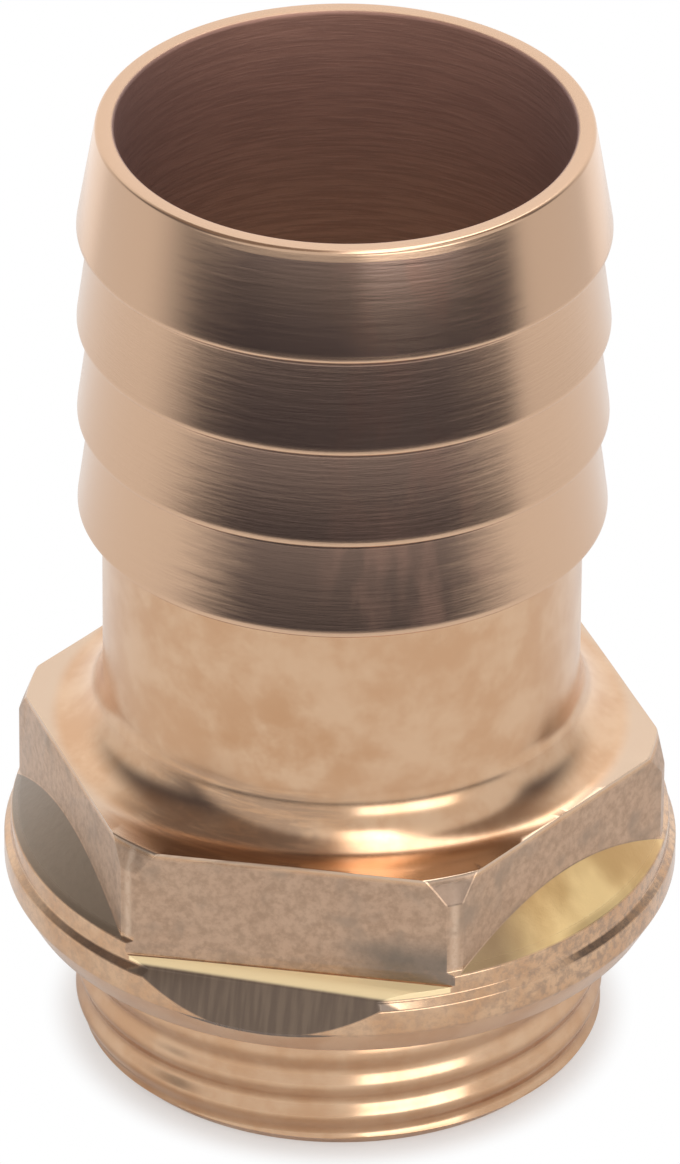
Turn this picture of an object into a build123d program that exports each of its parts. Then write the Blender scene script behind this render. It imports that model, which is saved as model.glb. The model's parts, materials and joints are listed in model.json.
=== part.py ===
"""Hose tail: a barbed spigot for a 25 mm hose, a hexagon for the spanner and a male pipe thread.

One turned and milled piece of brass. It stands on the end of the thread, with the hose end up.
Millimetres. The origin is at the centre of the thread's end face, and +Z runs to the hose end.
"""
import os
from math import radians, tan

from build123d import *

# The hole right through the piece.
bore_diameter = 22.3

# The male thread, size G 3/4: a plain cylinder over the crests, with a relief under the flange.
# The lead-in and the relief go in by a share of the wall between the crests and the bore.
thread_diameter = 26.44
thread_length = 7.9
lead_in_share = 0.435
lead_in_angle = 45
relief_share = 0.565
relief_width = 1.1

# The flange that seats on a washer, bevelled underneath.
seat_diameter = 31.8
flange_diameter = 33.5
flange_bevel_height = 1.5
flange_rim_height = 1.25

# The collar on the flange: a bevelled step, a plain band, then a cone that climbs to the flats.
collar_diameter = 32.8
collar_step_angle = 45
collar_band_height = 0.95
collar_cone_angle = 45

# The hexagon, with its corners turned down and a steep chamfer at the top of each.
across_flats = 28.5
across_corners = 32.4
hexagon_height = 5.45
corner_chamfer = 0.5
corner_chamfer_angle = 70

# The front flat is milled deeper, to a narrow ledge and a ramp that falls to the flange's rim.
ledge_depth = 0.55
ledge_width = 0.9
ramp_drop = 2.3
ramp_angle = 54
ramp_skew = 4.5

# The plain neck, and the hollow curve at its foot.
neck_diameter = 23.6
neck_length = 12.55
neck_fillet_radius = 2.8

# The barbs, each with a sharp lower edge, and the nose above them.
barb_count = 4
barb_pitch = 5.13
barb_diameter = 26.0
barb_land = 0.2
barb_back_height = 0.45
valley_diameter = 24.8
valley_height = 0.35
nose_length = 5.6
nose_diameter = 24.2
rim_chamfer = 0.12

# Heights that follow, from the thread's end up.
seat_z = thread_length
rim_bottom_z = seat_z + flange_bevel_height
rim_top_z = rim_bottom_z + flange_rim_height
collar_step_height = (flange_diameter - collar_diameter) / 2 * tan(radians(collar_step_angle))
band_z = rim_top_z + collar_step_height
collar_z = band_z + collar_band_height
ledge_z = collar_z - ledge_depth
shoulder_z = collar_z + hexagon_height
last_barb_z = shoulder_z + neck_length
first_barb_z = last_barb_z + (barb_count - 1) * barb_pitch
top_z = first_barb_z + nose_length

# Radii that follow.
bore_radius = bore_diameter / 2
thread_radius = thread_diameter / 2
flange_radius = flange_diameter / 2
collar_radius = collar_diameter / 2
corner_radius = across_corners / 2
flat_radius = across_flats / 2
neck_radius = neck_diameter / 2
barb_radius = barb_diameter / 2
valley_radius = valley_diameter / 2
nose_radius = nose_diameter / 2


def thread_outline():
    """The half section from the bore's lower edge to the flange's seat."""
    wall = thread_radius - bore_radius
    lead_in_depth = lead_in_share * wall
    relief_radius = thread_radius - relief_share * wall
    return [
        (bore_radius, 0),
        (thread_radius - lead_in_depth, 0),
        (thread_radius, lead_in_depth * tan(radians(lead_in_angle))),
        (thread_radius, seat_z - relief_width),
        (relief_radius, seat_z - relief_width),
        (relief_radius, seat_z),
    ]


def hexagon_outline():
    """The half section from the flange's seat to the hexagon's upper face, at a corner."""
    return [
        (seat_diameter / 2, seat_z),
        (flange_radius, rim_bottom_z),
        (flange_radius, rim_top_z),
        (collar_radius, band_z),
        (collar_radius, collar_z),
        (corner_radius, collar_z + (collar_radius - corner_radius) * tan(radians(collar_cone_angle))),
        (corner_radius, shoulder_z - corner_chamfer * tan(radians(corner_chamfer_angle))),
        (corner_radius - corner_chamfer, shoulder_z),
        (neck_radius + neck_fillet_radius, shoulder_z),
    ]


def tail_outline():
    """The half section from the last barb's back up to the rim of the bore."""
    points = [(neck_radius, last_barb_z - barb_back_height)]
    for number in range(barb_count):
        edge_z = last_barb_z + number * barb_pitch
        points.append((barb_radius, edge_z))
        points.append((barb_radius, edge_z + barb_land))
        if number < barb_count - 1:
            valley_top_z = edge_z + barb_pitch - barb_back_height
            points.append((valley_radius, valley_top_z - valley_height))
            points.append((valley_radius, valley_top_z))
    points.append((nose_radius, top_z - rim_chamfer))
    points.append((nose_radius - rim_chamfer, top_z))
    points.append((bore_radius + rim_chamfer, top_z))
    points.append((bore_radius, top_z - rim_chamfer))
    return points


# What milling leaves: all that is within the six flats, and the collar's round cone below them.
with BuildPart() as milled:
    with BuildSketch():
        RegularPolygon(radius=flat_radius, side_count=6, major_radius=False)
    extrude(amount=top_z)
    with BuildSketch(Plane.XZ):
        with BuildLine():
            cone_top_z = collar_z + (collar_radius - neck_radius) * tan(radians(collar_cone_angle))
            Polyline(
                (0, 0),
                (flange_radius, 0),
                (flange_radius, rim_top_z),
                (collar_radius, band_z),
                (collar_radius, collar_z),
                (neck_radius, cone_top_z),
                (0, cone_top_z),
                close=True,
            )
        make_face()
    revolve(axis=Axis.Z)

    # The ledge under the front flat.
    with BuildSketch(Plane.YZ):
        with Locations((-flat_radius, ledge_z)):
            Rectangle(flange_radius, shoulder_z - ledge_z, align=(Align.MAX, Align.MIN))
    extrude(amount=flange_radius, both=True, mode=Mode.SUBTRACT)

    # The ramp below it, turned a little about the axis, so that one end is cut more.
    with BuildSketch(Plane.YZ.rotated((0, 0, -ramp_skew))):
        with BuildLine():
            ramp_run = ramp_drop / tan(radians(ramp_angle))
            ramp_top = -flat_radius - ledge_width
            Polyline(
                (ramp_top, ledge_z),
                (ramp_top - ramp_run, ledge_z - ramp_drop),
                (-2 * flange_radius, ledge_z - ramp_drop),
                (-2 * flange_radius, ledge_z),
                close=True,
            )
        make_face()
    extrude(amount=flange_radius, both=True, mode=Mode.SUBTRACT)

# The turned piece, from its half section, cut to what milling leaves.
with BuildPart() as hose_tail:
    with BuildSketch(Plane.XZ):
        with BuildLine():
            lower = Polyline(*thread_outline(), *hexagon_outline())
            neck_foot = (neck_radius, shoulder_z + neck_fillet_radius)
            foot = RadiusArc(lower @ 1, neck_foot, neck_fillet_radius)
            upper = Polyline(foot @ 1, *tail_outline())
            Line(upper @ 1, lower @ 0)
        make_face()
    revolve(axis=Axis.Z)
    add(milled.part, mode=Mode.INTERSECT)

hose_tail.part.label = "hose_tail"

os.makedirs("parts", exist_ok=True)
export_step(hose_tail.part, "parts/hose_tail.step")

size = hose_tail.part.bounding_box().size
print(f"size {size.X:.2f} x {size.Y:.2f} x {size.Z:.2f} mm, volume {hose_tail.part.volume:.0f} mm3")
print(f"solids {len(hose_tail.part.solids())}, faces {len(hose_tail.part.faces())}")
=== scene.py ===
# %% [markdown]
# # A brass hose tail
# A hose tail joins a soft hose to a pipe thread. It is turned from one bar of brass on a lathe: a bore
# right through, barbs that grip the hose, a hexagon for the spanner, a flange and a male thread.
# The frame brings in the part as it was drawn, and the main sizes below are read from it.

# %% Load the frame
import json
from math import asin, atan2, cos, degrees, pi, radians, sin, tan

import bpy
from mathutils import Matrix, Vector


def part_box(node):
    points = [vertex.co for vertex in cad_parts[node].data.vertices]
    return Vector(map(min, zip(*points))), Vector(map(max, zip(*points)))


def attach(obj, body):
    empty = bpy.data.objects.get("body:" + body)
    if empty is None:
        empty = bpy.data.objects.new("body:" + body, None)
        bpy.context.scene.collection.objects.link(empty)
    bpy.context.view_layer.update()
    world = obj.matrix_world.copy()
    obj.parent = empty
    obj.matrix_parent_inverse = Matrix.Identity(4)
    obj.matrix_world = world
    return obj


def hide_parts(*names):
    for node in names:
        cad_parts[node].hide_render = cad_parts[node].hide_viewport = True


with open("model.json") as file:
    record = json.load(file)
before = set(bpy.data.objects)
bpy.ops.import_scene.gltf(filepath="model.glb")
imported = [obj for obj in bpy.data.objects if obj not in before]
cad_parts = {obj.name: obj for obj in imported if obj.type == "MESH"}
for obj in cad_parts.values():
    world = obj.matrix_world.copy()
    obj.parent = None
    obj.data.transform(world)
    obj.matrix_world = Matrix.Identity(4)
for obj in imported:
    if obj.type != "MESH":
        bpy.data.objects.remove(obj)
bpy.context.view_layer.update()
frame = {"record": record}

mm = 0.001
low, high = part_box("hose_tail")
mounts = {mount["name"]: mount for mount in frame["record"]["mounts"]}
print("drawn size in mm:", [round((high[i] - low[i]) / mm, 2) for i in range(3)])

# %% [markdown]
# ## Sizes
# A turned piece is described by its half section: how far each edge is from the axis, and how high.
# The overall height, the bore, the thread and the flange come from the frame. The rest are the sizes
# a turner would read off the drawing. All are in metres, and heights are above the thread's end.

# %% The sizes that the frame gives
top_z = high[2]
bore_radius = mounts["bore"]["dims"]["r_mm"] * mm
thread_radius = mounts["thread"]["dims"]["r_mm"] * mm
barb_radius = mounts["hose"]["dims"]["r_mm"] * mm
seat_z = mounts["washer_seat"]["pos_m"][2]
flange_radius = high[0]
flat_radius = -mounts["spanner_flat"]["pos_m"][1]
print("thread", round(2 * thread_radius / mm, 2), "mm, across flats", round(2 * flat_radius / mm, 2), "mm")

# %% [markdown]
# The flange carries a washer under it and the hexagon on top. Between them is a round collar, whose
# upper edge is a cone of 45 degrees. The hexagon's corners are turned down and chamfered, so that they
# don't cut the hand.

# %% The flange, the collar and the hexagon
seat_radius = 15.9 * mm
rim_bottom_z = seat_z + 1.5 * mm
rim_top_z = rim_bottom_z + 1.25 * mm
collar_radius = 16.4 * mm
collar_step = flange_radius - collar_radius
collar_z = rim_top_z + collar_step + 0.95 * mm
cone_slope = tan(radians(45))
ledge_z = collar_z - 0.55 * mm
shoulder_z = collar_z + 5.45 * mm
corner_radius = 16.2 * mm
corner_chamfer = 0.5 * mm
corner_chamfer_height = corner_chamfer * tan(radians(70))
print("the flats rise from", round(collar_z / mm, 2), "to", round(shoulder_z / mm, 2), "mm")

# %% [markdown]
# The neck meets the hexagon in a hollow curve, which spreads the strain of a hose that pulls sideways.
# Each barb is a slow cone with a short land at its widest, and a steep back that stops the hose from
# slipping off. Under the flange a narrow relief lets the thread run out.

# %% The neck, the barbs and the ends
neck_radius = 11.8 * mm
neck_fillet = 2.8 * mm
last_barb_z = shoulder_z + 12.55 * mm
barb_pitch = 5.13 * mm
barb_count = 4
barb_land = 0.2 * mm
barb_back = 0.45 * mm
valley_radius = 12.4 * mm
nose_radius = 12.1 * mm
rim_chamfer = 0.12 * mm
relief_radius = 12.0 * mm
relief_width = 1.1 * mm
lead_in = 0.9 * mm
print(barb_count, "barbs from", round(last_barb_z / mm, 2), "to", round(top_z / mm, 2), "mm")

# %% [markdown]
# ## Camera
# The piece is seen from a little above, with a long lens from well back, so that it hardly tapers.
# The hexagon's front flat is turned a little to the left, and the camera leans by half a degree.

# %% Place the camera
view_turn = radians(-80.3)
view_rise = radians(32)
view_distance = 0.6
pixels_per_metre = 20300
frame_height = 1164
aim_height = 0.025
aim_left = 2 / pixels_per_metre
roll = radians(0.45)
sensor_height = 24

towards_camera = Vector((cos(view_turn), sin(view_turn), 0))
image_right = Vector((-sin(view_turn), cos(view_turn), 0))
aim = Vector((0, 0, aim_height)) - image_right * aim_left
camera_data = bpy.data.cameras.new("camera")
camera = bpy.data.objects.new("camera", camera_data)
bpy.context.collection.objects.link(camera)
sight = towards_camera * cos(view_rise) + Vector((0, 0, sin(view_rise)))
camera.location = aim + sight * view_distance
level_view = sight.to_track_quat("Z", "Y").to_matrix()
camera.rotation_euler = (level_view @ Matrix.Rotation(roll, 3, "Z")).to_euler()
camera_data.sensor_fit = "VERTICAL"
camera_data.sensor_height = sensor_height
camera_data.lens = sensor_height * view_distance * pixels_per_metre / frame_height
camera_data.clip_start = 0.01
camera_data.clip_end = 10
bpy.context.scene.camera = camera
print("lens", round(camera_data.lens, 1), "mm, from", round(camera.location.length, 3), "m away")

# %% [markdown]
# ## Maths for shaders
# Blender's node trees are drawn as boxes and wires, but a formula is easier to read. This class wraps
# one output of a node, and adding or multiplying it makes the Math node that does so.

# %% A small class for shader maths
class Value:
    """One socket of a node tree, which can be used in a formula."""

    def __init__(self, tree, socket):
        self.tree = tree
        self.socket = socket

    def math(self, operation, *others):
        inputs = {i: other for i, other in enumerate((self, *others))}
        return self.tree.node("ShaderNodeMath", {"operation": operation}, inputs)

    def __add__(self, other):
        return self.math("ADD", other)

    def __radd__(self, other):
        return self.math("ADD", other)

    def __sub__(self, other):
        return self.math("SUBTRACT", other)

    def __rsub__(self, other):
        return self.math("MULTIPLY", -1).math("ADD", other)

    def __mul__(self, other):
        return self.math("MULTIPLY", other)

    def __rmul__(self, other):
        return self.math("MULTIPLY", other)

    def __truediv__(self, other):
        return self.math("DIVIDE", other)

    def __rtruediv__(self, other):
        return self.math("POWER", -1) * other

    def step(self, start, end):
        """0 before start and 1 after end, with a smooth rise between them."""
        settings = {"interpolation_type": "SMOOTHSTEP"}
        inputs = {"Value": self, "From Min": start, "From Max": end}
        return self.tree.node("ShaderNodeMapRange", settings, inputs)

    def fall(self, start, end):
        """1 before start and 0 after end."""
        return 1 - self.step(start, end)

    def near(self, start, end):
        """1 up to start away from zero, on both sides, and 0 beyond end."""
        return self.math("ABSOLUTE").fall(start, end)

    def band(self, start, end, soft):
        """1 between start and end, and 0 outside, with edges softened by soft on both sides."""
        return self.step(start - soft, start + soft) * self.fall(end - soft, end + soft)


class Tree:
    """A material's or world's nodes."""

    def __init__(self, owner):
        owner.use_nodes = True
        self.nodes = owner.node_tree.nodes
        self.links = owner.node_tree.links
        self.nodes.clear()

    def node(self, kind, settings=None, inputs=None, output=0):
        """Add a node: its settings first, then the values or links of its sockets."""
        made = self.nodes.new(kind)
        for name, value in (settings or {}).items():
            setattr(made, name, value)
        for name, value in (inputs or {}).items():
            if isinstance(value, Value):
                self.links.new(value.socket, made.inputs[name])
            else:
                made.inputs[name].default_value = value
        return Value(self, made.outputs[output]) if len(made.outputs) else None

    def mix(self, amount, first, second):
        """A colour between first and second."""
        first = (*first, 1) if isinstance(first, tuple) else first
        second = (*second, 1) if isinstance(second, tuple) else second
        settings = {"data_type": "RGBA"}
        return self.node("ShaderNodeMix", settings, {0: amount, 6: first, 7: second}, output=2)


white = (1, 1, 1)
print("a value knows:", ", ".join(name for name in vars(Value) if not name.startswith("_")))

# %% [markdown]
# ## Studio
# Polished metal has little colour of its own: it shows the room. So the room is made first, as a world
# whose brightness depends on where a ray points. Three directions are enough to describe it: towards
# the camera, to its right, and up.

# %% Directions in the room
world = bpy.data.worlds.new("studio")
bpy.context.scene.world = world
tree = Tree(world)
direction = tree.node("ShaderNodeTexCoord", output=0)


def along(axis):
    """How far the ray points along an axis."""
    settings = {"operation": "DOT_PRODUCT"}
    return tree.node("ShaderNodeVectorMath", settings, {0: direction, 1: tuple(axis)}, output=1)


front = along(towards_camera)
right = along(image_right)
up = along((0, 0, 1))
rise = up.math("ARCSINE") * degrees(1)
bearing = right.math("ARCTAN2", front) * degrees(1)
print("three directions take", len(tree.nodes), "nodes")

# %% [markdown]
# White boards stand at both sides, low enough to leave the ceiling dark. A white screen in front slopes
# up to the right. The wall behind is bright too. A long lamp hangs overhead, and a low one stands in
# front to the right: they draw the sharp lights on the hollow and on the thread. What is left between
# them is dark. Seen from above, the barbs mirror the lower part of the room, so they show that dark.

# %% Boards and lamps of the room
right_board = bearing.step(70, 84) * rise.fall(6, 30) * 0.85
left_board = bearing.fall(-92, -56) * rise.fall(6, 30) * 0.92
in_front = front.step(0, 0.1)
screen_edge = front * 1.9 + right * 0.8 - up
front_screen = screen_edge.step(-0.25, 0.25) * rise.step(-10, -4) * in_front * 0.92
back_wall = bearing.math("ABSOLUTE").step(100, 140) * rise.fall(42, 56) * 1.25
high_lamp = (right / up).band(0.03, 0.4, 0.01) * up.step(0.66, 0.74)
low_lamp = (right / front).band(0.14, 1.25, 0.02) * rise.band(-4, 13, 2) * in_front

plain_strength = 1.02
glow = right_board
for board in (left_board, front_screen, back_wall):
    glow = glow.math("MAXIMUM", board)
glow = glow * plain_strength + high_lamp * 3.6 + low_lamp * 2.6
print("the room has", len(tree.nodes), "nodes so far")

# %% [markdown]
# Only shiny surfaces see this room. A matt surface gets an even white light, so that its own colour
# stays true, and the camera sees plain white behind the piece. The Light Path node tells the three
# apart.

# %% Who sees what
dark_floor = (0.09, 0.09, 0.115)
brown_ceiling = (0.32, 0.265, 0.235)
unlit = tree.mix(rise.step(20, 50), dark_floor, brown_ceiling)
lit = tree.mix(glow.math("MINIMUM", 1), unlit, white)
camera_ray = tree.node("ShaderNodeLightPath", output=0)
glossy_ray = tree.node("ShaderNodeLightPath", output=3)
strength = glossy_ray * glow.math("MAXIMUM", 1) + (1 - glossy_ray) * plain_strength
strength = camera_ray + (1 - camera_ray) * strength
plain = camera_ray + (1 - camera_ray) * (1 - glossy_ray)
room_colour = tree.mix(plain, lit, white)
background = tree.node("ShaderNodeBackground", inputs={"Color": room_colour, "Strength": strength})
tree.node("ShaderNodeOutputWorld", inputs={"Surface": background})
print("studio:", len(tree.nodes), "nodes")

# %% [markdown]
# ## Table
# The piece stands on a small round table of matt white paper. Paper in soft light looks a little grey,
# so for the camera alone it is mixed with white. Close to the piece the mix is weak and its shadow
# stays. Further out the paper is as white as the background, and its edge can't be seen.

# %% The table
floor_radius = 0.1
shadow_from = 12.8 * mm
shadow_to = 15 * mm
least_white = 0.4

bpy.ops.object.select_all(action="DESELECT")
bpy.ops.mesh.primitive_circle_add(vertices=96, radius=floor_radius, fill_type="NGON", location=(0, 0, 0))
floor = bpy.context.object
floor.name = "table_top"
paper = bpy.data.materials.new("white_paper")
tree = Tree(paper)
matt = tree.node("ShaderNodeBsdfDiffuse", inputs={"Color": (0.96, 0.96, 0.96, 1)})
shine = tree.node("ShaderNodeEmission", inputs={"Color": (*white, 1), "Strength": 1.0})
place = tree.node("ShaderNodeTexCoord", output=3)
from_axis = tree.node("ShaderNodeVectorMath", {"operation": "LENGTH"}, {0: place}, output=1)
seen = tree.node("ShaderNodeLightPath", output=0)
amount = seen * (from_axis.step(shadow_from, shadow_to) * (1 - least_white) + least_white)
surface = tree.node("ShaderNodeMixShader", inputs={0: amount, 1: matt, 2: shine})
tree.node("ShaderNodeOutputMaterial", inputs={"Surface": surface})
floor.data.materials.append(paper)
print("table", round(2 * floor_radius / mm), "mm across, shadow kept within", round(shadow_to / mm), "mm")

# %% [markdown]
# ## Lamp
# The world's light comes from everywhere and casts almost no shadow. One soft lamp high above, a little
# to the right, gives the piece its weight on the table. Its own shape is hidden from the metal, because
# the room already has the lamps that the metal should show.

# %% The lamp
lamp_data = bpy.data.lights.new("overhead", "AREA")
lamp_data.size = 0.3
lamp_data.energy = 0.15
lamp = bpy.data.objects.new("overhead", lamp_data)
bpy.context.collection.objects.link(lamp)
lamp.location = (0.05, 0, 0.5)
lamp.rotation_euler = (lamp.location - aim).to_track_quat("Z", "Y").to_euler()
lamp.visible_glossy = False
print("lamp", round(lamp_data.size, 2), "m square,", round(lamp_data.energy, 2), "W")

# %% [markdown]
# ## The turned blank
# On the lathe the section grows edge by edge. Here a ring of points is extruded and scaled from one
# edge of the section to the next, up the outside and back down the bore, until the last ring meets
# the first. No edge on a lathe stays knife sharp, so each corner of the section gets a small round, as
# a file would leave it.

# %% Arcs and broken edges
def arc_points(centre, radius, start, end, count):
    """Points on an arc of the half section, angles in degrees."""
    angles = [radians(start + (end - start) * i / count) for i in range(count + 1)]
    return [(centre[0] + radius * cos(a), centre[1] + radius * sin(a)) for a in angles]


def broken_edges(points, size, count=3):
    """Replace each corner of an outline by a small round."""
    most = 0.45
    result = [points[0]]
    for before, here, after in zip(points, points[1:], points[2:]):
        here = Vector(here)
        to_before = Vector(before) - here
        to_after = Vector(after) - here
        cut = min(size, to_before.length * most, to_after.length * most)
        start = here + to_before.normalized() * cut
        end = here + to_after.normalized() * cut
        for i in range(count + 1):
            t = i / count
            result.append(tuple(start * (1 - t) ** 2 + here * 2 * t * (1 - t) + end * t ** 2))
    result.append(points[-1])
    return result


edge_break = 0.09 * mm
print("a square corner becomes", len(broken_edges([(0, 1), (0, 0), (1, 0)], edge_break)) - 2, "points")

# %% [markdown]
# The lower part of the section climbs from the thread relief over the flange and the collar to the
# shoulder of the hexagon, which is still round here. The upper part is a list of barbs, made in a loop
# because they are all alike. Then comes the rim, and the way back down through the bore.

# %% Half section
lower = [
    (relief_radius, seat_z - relief_width),
    (relief_radius, seat_z),
    (seat_radius, seat_z),
    (flange_radius, rim_bottom_z),
    (flange_radius, rim_top_z),
    (collar_radius, rim_top_z + collar_step),
    (collar_radius, collar_z),
    (corner_radius, collar_z + (collar_radius - corner_radius) * cone_slope),
    (corner_radius, shoulder_z - corner_chamfer_height),
    (corner_radius - corner_chamfer, shoulder_z),
    (neck_radius + neck_fillet, shoulder_z),
]
foot_centre = (neck_radius + neck_fillet, shoulder_z + neck_fillet)
foot = arc_points(foot_centre, neck_fillet, 270, 180, 12)
barbs = [(neck_radius, last_barb_z - barb_back)]
for number in range(barb_count):
    edge_z = last_barb_z + number * barb_pitch
    barbs += [(barb_radius, edge_z), (barb_radius, edge_z + barb_land)]
    if number < barb_count - 1:
        valley_top_z = edge_z + barb_pitch - barb_back
        barbs.append((valley_radius, valley_top_z))
rim = [
    (nose_radius, top_z - rim_chamfer),
    (nose_radius - rim_chamfer, top_z),
    (bore_radius + rim_chamfer, top_z),
    (bore_radius, top_z - rim_chamfer),
]
bore = [(bore_radius, top_z * share) for share in (0.75, 0.5, 0.25)]
foot_ring = [(bore_radius, 0), (thread_radius - lead_in, 0)]
section = broken_edges(lower, edge_break) + foot[1:-1]
section += broken_edges([foot[-1], *barbs, *rim, *bore, *foot_ring], edge_break)
print("half section of", len(section), "edges")

# %% [markdown]
# A ring of 256 points is enough for the curve to look smooth at this size. The first ring is drawn
# again at the end, and merging the points that meet closes the shape, so that it holds a volume.

# %% Spin up the blank
segments = 256


def ring_stack(name, points):
    """Extrude a ring of points along a half section, and leave the last ring selected."""
    bpy.ops.object.select_all(action="DESELECT")
    radius, height = points[0]
    bpy.ops.mesh.primitive_circle_add(vertices=segments, radius=radius, location=(0, 0, height))
    made = bpy.context.object
    made.name = name
    bpy.ops.object.transform_apply(location=True)
    bpy.ops.object.mode_set(mode="EDIT")
    bpy.ops.mesh.select_all(action="SELECT")
    for next_radius, next_height in points[1:]:
        lift = {"value": (0, 0, next_height - height)}
        bpy.ops.mesh.extrude_region_move(TRANSFORM_OT_translate=lift)
        scale = next_radius / radius
        bpy.ops.transform.resize(value=(scale, scale, 1), center_override=(0, 0, 0))
        radius, height = next_radius, next_height
    return made


def close_up():
    """Merge meeting points and point all faces outwards, then leave edit mode."""
    bpy.ops.mesh.select_all(action="SELECT")
    bpy.ops.mesh.remove_doubles(threshold=0.002 * mm)
    bpy.ops.mesh.normals_make_consistent(inside=False)
    bpy.ops.object.mode_set(mode="OBJECT")


piece = ring_stack("turned_brass", [*section, section[0]])
close_up()
print("blank:", len(piece.data.polygons), "faces")

# %% [markdown]
# ## Selecting by a test
# On screen a maker clicks the edges to work on. In a script they are found by where they are or which
# way they face, so each test below is a small function that says yes or no.

# %% Helpers to select and combine
def activate(obj):
    """Select one object and nothing else."""
    bpy.ops.object.select_all(action="DESELECT")
    obj.select_set(True)
    bpy.context.view_layer.objects.active = obj


def select_parts(obj, kind, test):
    """Select the points, edges or faces of an object that pass a test, and count them."""
    activate(obj)
    bpy.ops.object.mode_set(mode="EDIT")
    bpy.ops.mesh.select_mode(type=kind)
    bpy.ops.mesh.select_all(action="DESELECT")
    bpy.ops.object.mode_set(mode="OBJECT")
    parts = {"VERT": obj.data.vertices, "EDGE": obj.data.edges, "FACE": obj.data.polygons}[kind]
    for part in parts:
        part.select = test(part)
    return sum(part.select for part in parts)


def boolean(target, tool, operation):
    """Combine two closed shapes, and delete the tool."""
    modifier = target.modifiers.new("boolean", "BOOLEAN")
    modifier.operation = operation
    modifier.object = tool
    modifier.solver = "EXACT"
    activate(target)
    bpy.ops.object.modifier_apply(modifier=modifier.name)
    bpy.data.objects.remove(tool, do_unlink=True)


activate(piece)
print("at work on", bpy.context.object.name)

# %% [markdown]
# ## Milling the hexagon
# A milling cutter takes six flats off the turned collar, and stops at the cone above the flange, which
# stays round, so that each flat ends in an arch. The tool here is what milling leaves: a hexagonal
# prism joined to a wide cone. What the blank and the tool have in common is the finished form.

# %% What milling leaves
cone_gap = 0.01 * mm
cone_low_z = -6 * mm
cone_top_z = collar_z + (collar_radius - neck_radius) * cone_slope


def cone_radius(height):
    """The cone's radius at a height: it passes through the collar's upper edge."""
    return collar_radius + cone_gap - (height - collar_z) / cone_slope


bpy.ops.object.select_all(action="DESELECT")
spare = 10 * mm
prism_height = top_z + 2 * spare
bpy.ops.mesh.primitive_cylinder_add(
    vertices=6,
    radius=flat_radius / cos(pi / 6),
    depth=prism_height,
    location=(0, 0, prism_height / 2 - spare),
    rotation=(0, 0, pi / 6),
)
tool = bpy.context.object
tool.name = "milling"
bpy.ops.object.transform_apply(location=True, rotation=True)
bpy.ops.mesh.primitive_cone_add(
    vertices=segments,
    radius1=cone_radius(cone_low_z),
    radius2=cone_radius(cone_top_z),
    depth=cone_top_z - cone_low_z,
    location=(0, 0, (cone_low_z + cone_top_z) / 2),
)
cone = bpy.context.object
bpy.ops.object.transform_apply(location=True)
boolean(tool, cone, "UNION")
print("tool:", len(tool.data.polygons), "faces")

# %% [markdown]
# ## The ledge and the ramp
# Under the front flat the cutter went deeper. It left a narrow level ledge, and beyond it a ramp that
# runs down over the collar, slightly askew. The cutter is a block: a bisect draws the line where the
# ledge ends, and the part beyond that line is turned down about it.

# %% The block of the front cutter
ledge_width = 0.9 * mm
ramp_angle = radians(54)
ramp_skew = radians(4.5)
cutter_size = 60 * mm
cutter_top_z = shoulder_z + 5 * mm

bpy.ops.object.select_all(action="DESELECT")
cutter_height = cutter_top_z - ledge_z
cutter_place = (0, -(flat_radius + cutter_size / 2), ledge_z + cutter_height / 2)
bpy.ops.mesh.primitive_cube_add(size=1, location=cutter_place)
cutter = bpy.context.object
cutter.name = "front_cutter"
bpy.ops.transform.resize(value=(cutter_size, cutter_size, cutter_height))
bpy.ops.object.transform_apply(location=True, scale=True)

ramp_start = Vector((0, -(flat_radius + ledge_width), ledge_z))
ramp_along = Vector((cos(ramp_skew), -sin(ramp_skew), 0))
ramp_across = Vector((-sin(ramp_skew), -cos(ramp_skew), 0))
bpy.ops.object.mode_set(mode="EDIT")
bpy.ops.mesh.select_all(action="SELECT")
bpy.ops.mesh.bisect(plane_co=ramp_start, plane_no=ramp_across)
bpy.ops.object.mode_set(mode="OBJECT")
print("front cutter:", len(cutter.data.vertices), "points")

# %% [markdown]
# The far corners of the underside are turned about the line where the ledge ends. Blender is given the
# axes of that line, because it isn't quite parallel to the flat. The edge itself is then rounded, as
# the corner of a used cutter would round it.

# %% Turn the outer part down and round the ledge's edge
def is_outer_low_point(vertex):
    """True for the two far corners of the block's underside."""
    return vertex.co.z < ledge_z + mm and vertex.co.y < -cutter_size


select_parts(cutter, "VERT", is_outer_low_point)
bpy.ops.object.mode_set(mode="EDIT")
turned = Matrix((ramp_along, ramp_across, (0, 0, 1))).transposed()
bpy.ops.transform.rotate(
    value=-ramp_angle,
    orient_axis="X",
    orient_type="GLOBAL",
    orient_matrix=turned,
    orient_matrix_type="GLOBAL",
    center_override=ramp_start,
)
bpy.ops.object.mode_set(mode="OBJECT")
lowest = min(cutter.data.vertices, key=lambda vertex: vertex.co.z).co
print("cutter's lowest corner in mm:", [round(value / mm, 2) for value in lowest])


ledge_round = 0.55 * mm
tiny = 0.01 * mm


def is_ledge_edge(edge):
    """True where the ledge turns down into the ramp."""
    ends = [cutter.data.vertices[i].co for i in edge.vertices]
    level = all(abs(end.z - ledge_z) < tiny for end in ends)
    return level and all(abs((end - ramp_start).dot(ramp_across)) < tiny for end in ends)


select_parts(cutter, "EDGE", is_ledge_edge)
bpy.ops.object.mode_set(mode="EDIT")
bpy.ops.mesh.bevel(offset=ledge_round, segments=6)
bpy.ops.object.mode_set(mode="OBJECT")
print("cutter:", len(cutter.data.polygons), "faces")

# %% [markdown]
# Taking the front cutter out of the tool, and keeping only what the blank and the tool share, is the
# same as milling: no cut can add metal. Points that lie closer than a fiftieth of a millimetre are
# merged, because a cut through many narrow faces leaves slivers.

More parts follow.
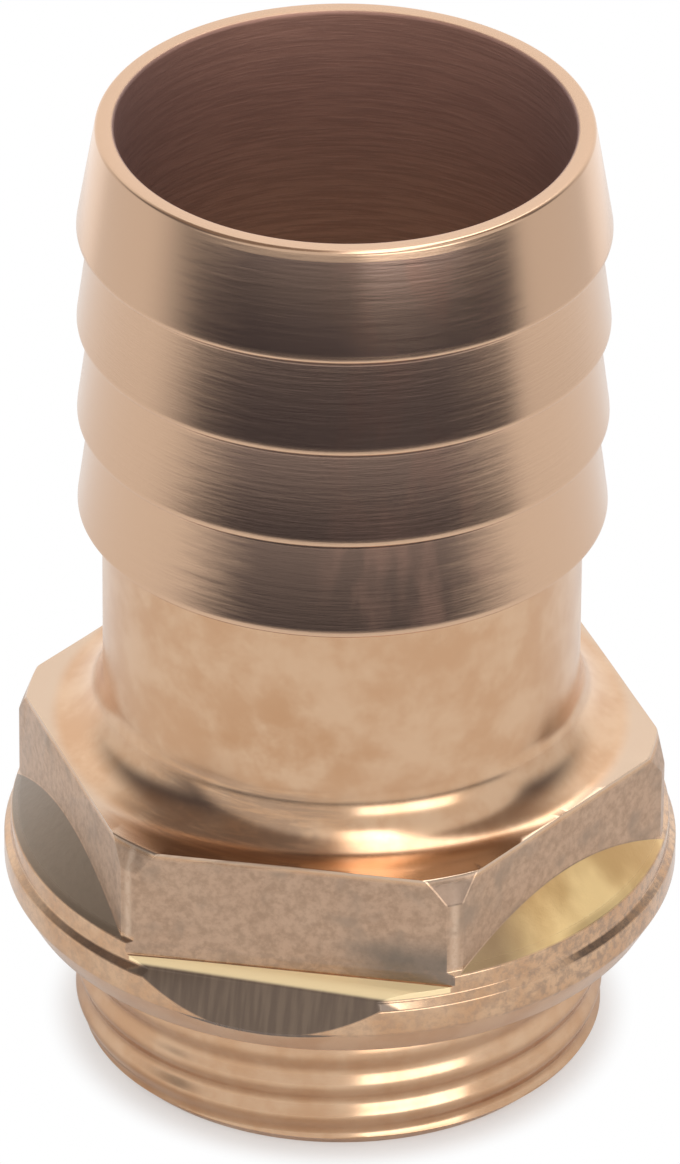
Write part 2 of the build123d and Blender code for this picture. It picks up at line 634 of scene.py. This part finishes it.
# %% Mill the blank
boolean(tool, cutter, "DIFFERENCE")
boolean(piece, tool, "INTERSECT")
activate(piece)
bpy.ops.object.mode_set(mode="EDIT")
bpy.ops.mesh.select_all(action="SELECT")
bpy.ops.mesh.remove_doubles(threshold=0.02 * mm)
bpy.ops.object.mode_set(mode="OBJECT")
print("milled:", len(piece.data.polygons), "faces")

# %% [markdown]
# ## Softening the milled edges
# Milled edges are sharp, and tumbling the parts in a drum takes the burr off them. An edge is found by
# the angle between the two faces that meet there, and only in the heights that the cutter reached, so
# that the turned edges keep their own rounds.

# %% Soften the milled edges
milled_round = 0.1 * mm
margin = 0.3 * mm
sharp = 24

piece.data.update()
facing = {}
for face in piece.data.polygons:
    for key in face.edge_keys:
        facing.setdefault(key, []).append(face.normal.copy())


def is_milled_edge(edge):
    """True for a sharp edge between two faces, in the part that the milling cutter reaches."""
    normals = facing[edge.key]
    heights = [piece.data.vertices[i].co.z for i in edge.vertices]
    in_reach = rim_bottom_z + margin < min(heights) and max(heights) < shoulder_z + margin
    return in_reach and len(normals) == 2 and degrees(normals[0].angle(normals[1])) > sharp


print("milled edges:", select_parts(piece, "EDGE", is_milled_edge))
bpy.ops.object.mode_set(mode="EDIT")
bpy.ops.mesh.bevel(offset=milled_round, segments=2, clamp_overlap=True)
bpy.ops.object.mode_set(mode="OBJECT")
print("softened:", len(piece.data.polygons), "faces")

# %% [markdown]
# ## The thread
# A pipe thread is a rounded groove that climbs one pitch in each turn. A plain sleeve of many rings is
# made first. Each of its points gets a weight, the depth of the cut there, and a Displace modifier
# pushes it in by that much. The same weights cut the bevel that leads the thread into its socket, and
# the turns get shallower towards the flange, where the die runs out.

# %% The plain sleeve
turns_per_inch = 14
pitch = 25.4 / turns_per_inch * mm
rows_per_pitch = 24
thread_top_z = seat_z - relief_width
rows = round(thread_top_z / pitch * rows_per_pitch)
heights = [thread_top_z * i / rows for i in range(rows + 1)]
sleeve = ring_stack("thread_sleeve", [(thread_radius, height) for height in heights])
bpy.ops.mesh.select_all(action="SELECT")
bpy.ops.mesh.normals_make_consistent(inside=False)
bpy.ops.object.mode_set(mode="OBJECT")
print("sleeve:", rows, "rows for", round(thread_top_z / pitch, 1), "turns")

# %% [markdown]
# A groove that followed a cosine would be as wide at the top as at the bottom of each turn. The arc
# sine straightens its sides and leaves only the crest and the root round, as on a real thread. A full
# pipe thread of this pitch is about 1.2 mm deep. These turns are much shallower, as the piece looks, so
# they show where the thread is but wouldn't hold in a socket.

# %% Cut the thread
groove_depth = 0.28 * mm
roundness = 0.8
thread_phase = 0.69
depth_at_start = 1.25
depth_lost = 0.6
fade_in = 0.25 * mm


def cut_depth(point):
    """How far a point of the sleeve is cut in: by the groove or by the bevel at the end."""
    angle = atan2(point.y, point.x)
    phase = point.z / pitch - angle / (2 * pi) + thread_phase
    wave = 0.5 - 0.5 * asin(roundness * cos(2 * pi * phase)) / asin(roundness)
    groove = wave * groove_depth * (depth_at_start - depth_lost * point.z / thread_top_z)
    return max(groove * min(1, point.z / fade_in), lead_in - point.z)


depth_group = sleeve.vertex_groups.new(name="depth")
for vertex in sleeve.data.vertices:
    depth_group.add([vertex.index], cut_depth(vertex.co) / lead_in, "REPLACE")
cut = sleeve.modifiers.new("cut", "DISPLACE")
cut.direction = "NORMAL"
cut.vertex_group = "depth"
cut.mid_level = 0
cut.strength = -lead_in
activate(sleeve)
bpy.ops.object.modifier_apply(modifier=cut.name)
radii = [Vector(v.co[:2]).length / mm for v in sleeve.data.vertices]
print("thread from", round(min(radii), 2), "to", round(max(radii), 2), "mm radius")

# %% [markdown]
# ## Joining the thread
# The blank was closed with a plain wall where the thread goes. That wall is taken out and the sleeve
# put in its place. The sleeve's lower edge meets the piece and is merged. Its upper edge stands a
# little off the relief, because it is cut by the groove, so a band of faces bridges the gap.

# %% Join the sleeve to the piece
wall_edge = 0.1 * mm
wall_least = 0.3 * mm


def in_thread_wall(face):
    """True for the plain wall that closed the blank where the thread goes."""
    radius = Vector(face.center[:2]).length
    in_height = wall_edge < face.center.z < thread_top_z - wall_edge
    return in_height and radius > bore_radius + wall_least


print("plain wall:", select_parts(piece, "FACE", in_thread_wall), "faces taken out")
bpy.ops.object.mode_set(mode="EDIT")
bpy.ops.mesh.delete(type="FACE")
bpy.ops.object.mode_set(mode="OBJECT")
sleeve.select_set(True)
bpy.ops.object.join()
bpy.ops.object.mode_set(mode="EDIT")
bpy.ops.mesh.select_mode(type="VERT")
bpy.ops.mesh.select_all(action="DESELECT")
bpy.ops.mesh.select_non_manifold()
bpy.ops.mesh.remove_doubles(threshold=0.05 * mm)
bpy.ops.mesh.select_mode(type="EDGE")
bpy.ops.mesh.select_all(action="DESELECT")
bpy.ops.mesh.select_non_manifold()
bpy.ops.object.mode_set(mode="OBJECT")
print("open edges between thread and flange:", sum(edge.select for edge in piece.data.edges))
bpy.ops.object.mode_set(mode="EDIT")
bpy.ops.mesh.bridge_edge_loops()
close_up()
bpy.ops.object.shade_smooth_by_angle(angle=radians(22))
print("piece:", len(piece.data.polygons), "faces")

# %% [markdown]
# ## Brass: where a point is
# Handled brass is not one colour. Each surface was cut in its own way and has aged in its own way, so
# the material has to know where it is. The place on the piece is read in millimetres, and turned into
# a distance from the axis and an angle around it. Stretching a noise along the angle gives the fine
# rings that a lathe leaves.

# %% Places and patterns
brass = bpy.data.materials.new("brass")
tree = Tree(brass)
place = tree.node("ShaderNodeTexCoord", output=3)
x, y, z = (tree.node("ShaderNodeSeparateXYZ", inputs={0: place}, output=i) / mm for i in range(3))
radius = (x * x + y * y).math("SQRT")
turn = y.math("ARCTAN2", x) * degrees(1)


def point(first, second, third):
    """A place made of three values, to stretch a pattern."""
    return tree.node("ShaderNodeCombineXYZ", inputs={0: first, 1: second, 2: third})


def spots(where, scale, detail, roughness=0.5):
    """Noise between 0 and 1; the scale is in spots to the millimetre."""
    inputs = {"Vector": where, "Scale": scale, "Detail": detail, "Roughness": roughness}
    return tree.node("ShaderNodeTexNoise", inputs=inputs)


in_mm = point(x, y, z)
blotches = spots(in_mm, 0.35, 5, 0.6)
grain = spots(in_mm, 2.2, 4, 0.7)
dull_areas = spots(in_mm, 0.5, 3)
rings = spots(point(x / radius * 2, y / radius * 2, (z + radius) * 3), 1.5, 4, 0.7)
streaks = spots(point(x / radius * 9, y / radius * 9, z * 0.25), 1, 3)
slope_lines = spots(point(x * 3, y * 0.3, z * 0.3), 1, 2)
arch_lines = spots(point(x * 0.25, y * 0.25, (z + radius) * 5), 1, 3)
print("places and patterns:", len(tree.nodes), "nodes")

# %% [markdown]
# ## Brass: masks for the turned parts
# A mask is 1 on one part of the piece and 0 elsewhere. The turned parts are told apart by height and
# by distance from the axis, both in millimetres.

# %% Masks for the turned parts
front_flat, right_flat, left_flat = -90, -30, -150

in_bore = radius.fall(11.2, 11.35)
outside = 1 - in_bore
on_barbs = z.step(29.3, 29.6) * outside
on_neck = z.band(20, 29.4, 0.3) * outside
on_flange = z.band(9.2, 12.2, 0.1) * outside
on_top = z.step(17.2, 17.3) * z.fall(17.45, 17.8) * radius.step(13.8, 14.6)

barb_share = ((z - last_barb_z / mm) / (barb_pitch / mm) + 0.01).math("FRACT")
above_crest = barb_share.step(0.05, 0.09) * z.fall(50.5, 50.7)
# The front of the barbs, turned to the camera, above each crest's edge: a painted dark reflection.
front_turn = (turn + 79).math("ABSOLUTE") + (rings - 0.5) * 20
barb_front = on_barbs * above_crest * front_turn.fall(20, 42)
print("with the turned parts:", len(tree.nodes), "nodes")

# %% [markdown]
# ## Brass: masks for the milled parts
# A flat is a plane, so a point belongs to it when its distance from that plane is nothing. The ledge
# and the ramp are planes too. Where the collar's cone stands out in front of a side flat, it shows as
# an arch.

# %% Masks for the flats
def off_flat(turn_of_flat):
    """How far a point stands out from a flat's plane, as the collar's cone does below it."""
    angle = radians(turn_of_flat)
    return x * cos(angle) + y * sin(angle) - flat_radius / mm


front_wall = off_flat(front_flat).near(0.02, 0.05) * z.band(11.45, 17, 0.05)
on_flats = (z.band(12.3, 17.1, 0.15) * outside).math("MAXIMUM", front_wall)
arch_height = z.band(12.0, 15.5, 0.05)
on_right_arch = arch_height * off_flat(right_flat).step(0.02, 0.06)
on_left_arch = arch_height * off_flat(left_flat).step(0.02, 0.06)

from_corner = (turn - front_flat).math("ABSOLUTE") - 30
# Painted highlight: a light line along the front flat's two corners, where an edge catches light.
corner_highlight = z.band(12.2, 17.3, 0.1) * from_corner.near(0.1, 1.2) * grain.step(0.3, 0.6)
# Painted dark reflection: the chamfer at the front flat's right corner.
corner_facet_shade = z.band(16.0, 17.35, 0.05) * (turn + 60).near(7, 8) * radius.step(15.5, 15.6)
for flat in (front_flat, right_flat):
    corner_facet_shade = corner_facet_shade * off_flat(flat).fall(-0.06, -0.03)
print("with the flats:", len(tree.nodes), "nodes")

# %% [markdown]
# The ledge is level and the ramp falls away from it by the cutter's angle. Both masks reuse the line
# and the angles of the cutter, so that the colour stays on the cut if the cut is moved.

# %% Masks for the ledge and the ramp
below_flat = off_flat(front_flat).step(0.05, 0.1) * z.band(8.9, 11.9, 0.05)
ledge_gap = z - ledge_z / mm
across_ramp = x * -sin(ramp_skew) + y * -cos(ramp_skew) - ramp_start.dot(ramp_across) / mm
ramp_gap = ledge_gap + across_ramp * tan(ramp_angle)
on_ledge = below_flat * ledge_gap.near(0.28, 0.34) * across_ramp.fall(0.1, 0.25)
on_ramp = below_flat * ramp_gap.near(0.5, 0.6) * across_ramp.step(0, 0.2) * radius.fall(16.68, 16.74)
print("with the ledge and the ramp:", len(tree.nodes), "nodes")

# %% [markdown]
# ## Brass: stains and painted shade
# Brass darkens where it stays damp or is seldom touched, as in the pits of the flange. Low on the right
# of the front flat the colour is darker. The front of the hollow at the neck's foot gets painted shade,
# and the front of the barbs, above, a painted dark reflection, which deepens the dark that the metal
# mirrors there. Each of these is a mask with a soft, broken edge.

# %% Masks for stains
# Painted shade: the front of the hollow at the neck's foot, turned to the camera, is painted darker.
foot_front = (turn + 104).near(12, 34)
painted_foot_shade = z.band(17.25, 20.2, 0.4) * radius.fall(15.4, 16.2) * foot_front * rings.step(0.35, 0.6)
# Darker low on the right of the front flat.
front_flat_low_dark = front_wall * x.step(1.5, 5.5) * z.fall(12.6, 14.4)
pits = on_flange * (0.4 + x.step(6, 15) * 0.5) * grain.step(0.4, 0.65)
from_patch = (turn + 94).math("ABSOLUTE") / 22 + ((z - 22.5) / 3.2).math("ABSOLUTE")
neck_patch = from_patch.fall(0.5, 1.5) * blotches.step(0.3, 0.6) * on_neck
print("with the stains:", len(tree.nodes), "nodes")

# %% [markdown]
# ## Brass: colours
# Some surfaces are a blend of two or three colours. The flats are dull and mottled. The front of the
# barbs is a painted dark reflection. The right arch is a fresh yellow cut with painted light on it, and
# painted shade towards its left end. The ramp is painted dark, as the dark room it mirrors, over its
# milling lines. The bore is browner than the outside, and painted light makes it lighter lower down and
# on the far wall that faces the camera.

# %% Colours that are blends
dull = tree.mix(grain.step(0.35, 0.7), (0.48, 0.33, 0.235), (0.34, 0.23, 0.16))
dull = tree.mix(dull_areas.step(0.5, 0.72) * 0.7, dull, (0.26, 0.2, 0.155))

# Painted dark reflection on the front of the barbs: lighter higher up, lighter streaks on the right.
barb_dark_reflection = tree.mix(z.step(31, 40), (0.14, 0.095, 0.075), (0.26, 0.175, 0.135))
barb_dark_reflection = tree.mix(streaks.step(0.4, 0.7) * (turn + 82).step(-8, 6) * 0.6, barb_dark_reflection, (0.3, 0.18, 0.135))

# The right arch: a yellow cut with lines along it, painted bright as painted light,
gold = tree.mix(arch_lines.step(0.35, 0.65), (0.6, 0.37, 0.15), (0.95, 0.68, 0.32))
# and with painted shade towards its left end.
gold = tree.mix((turn + 52).fall(0, 14) * 0.8, gold, (0.22, 0.14, 0.08))

# Painted dark reflection on the ramp, over its milling lines.
ramp_colour = tree.mix(slope_lines.step(0.35, 0.65), (0.165, 0.115, 0.08), (0.125, 0.085, 0.06))

# Painted light in the bore: lighter deep down and on the far wall that faces the camera.
bore_colour = tree.mix(z.step(26, 48), (1.0, 0.58, 0.36), (0.38, 0.2, 0.15))
bore_colour = tree.mix((turn - 100).math("ABSOLUTE").step(20, 85) * 0.6, bore_colour, (0.17, 0.11, 0.105))
bore_colour = tree.mix(rings.step(0.4, 0.6) * 0.22, bore_colour, (0.12, 0.06, 0.05))
print("with the blends:", len(tree.nodes), "nodes")

# %% [markdown]
# The colours are laid on one over another, like coats of stain; some of the coats are painted light and
# shade, as marked. Each coat has its mask, how strong it is, and its colour. A later coat covers an
# earlier one, so the wide areas come first.

# %% Lay the colours on
coats = [
    (on_barbs, (0.6, 0.4, 0.27)),
    (on_flats * 0.85, dull),
    (on_top * 0.9, (0.59, 0.44, 0.325)),
    # Painted shade in the hollow at the neck's foot.
    (painted_foot_shade * 0.6, (0.33, 0.22, 0.155)),
    # Painted dark reflection on the front of the barbs.
    (barb_front, barb_dark_reflection),
    # Darker low on the right of the front flat.
    (front_flat_low_dark * 0.75, (0.15, 0.13, 0.11)),
    (pits, (0.36, 0.25, 0.18)),
    (neck_patch * 0.8, (0.52, 0.3, 0.165)),
    # Painted highlight: the ledge is painted bright yellow, as the light it mirrors.
    (on_ledge, (1.0, 0.79, 0.46)),
    # The right arch, painted as lit, with painted shade at its left end.
    (on_right_arch, gold),
    # Painted shade: the left arch is painted dark.
    (on_left_arch * 0.9, (0.2, 0.15, 0.105)),
    # Painted dark reflection on the ramp.
    (on_ramp, ramp_colour),
    # Painted highlight along the front flat's corners.
    (corner_highlight * 0.55, (0.74, 0.56, 0.42)),
    # Painted dark reflection on the chamfer at the front flat's right corner.
    (corner_facet_shade * 0.8, (0.17, 0.12, 0.09)),
    # The bore's brown, with painted light lower down and on its far wall.
    (in_bore, bore_colour),
]
colour = tree.mix(blotches.step(0.35, 0.65), (0.63, 0.42, 0.27), (0.56, 0.34, 0.2))
for amount, coat in coats:
    colour = tree.mix(amount, colour, coat)
print(len(coats), "coats of colour")

# %% [markdown]
# ## Brass: shine
# Clean brass is a smooth metal. Where it is stained or rough it mirrors less, which a lower metallic
# value and a higher roughness give. Where light and shade are painted, on the ledge, the ramp, the
# arches and the bore, the metallic value is lowered too, so that the painted colours show. The lathe's
# rings and the grain of the flats are at most a few hundredths of a millimetre deep, too fine to model,
# so a bump stands in for them.

# %% Shine and finish
roughness = 0.19 + on_flats * 0.16 + on_barbs * rings * 0.04 + in_bore * 0.3 + on_neck * 0.06
# Stains, and the painted light and shade on the ledge, ramp and bore, lower the metallic value.
stain_and_painted_light = in_bore * 0.65 + on_flats * 0.12 + on_ledge * 0.75 + on_ramp * 0.6
metallic = 1 - stain_and_painted_light - on_right_arch * 0.4 - on_left_arch * 0.4
heights = rings * on_barbs * 0.005 + grain * on_flats * 0.02 + rings * in_bore * 0.04
bump = tree.node("ShaderNodeBump", inputs={"Strength": 1.0, "Distance": mm, "Height": heights})
shader = tree.node(
    "ShaderNodeBsdfPrincipled",
    inputs={"Base Color": colour, "Metallic": metallic, "Roughness": roughness, "Normal": bump},
)
tree.node("ShaderNodeOutputMaterial", inputs={"Surface": shader})
piece.data.materials.clear()
piece.data.materials.append(brass)
print("brass:", len(tree.nodes), "nodes")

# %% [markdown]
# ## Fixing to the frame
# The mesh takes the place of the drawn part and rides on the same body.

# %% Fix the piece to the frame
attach(piece, "root")
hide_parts("hose_tail")
print("piece:", piece.name, len(piece.data.polygons), "faces")

# %% Finish
bpy.context.scene.view_settings.view_transform = "Standard"
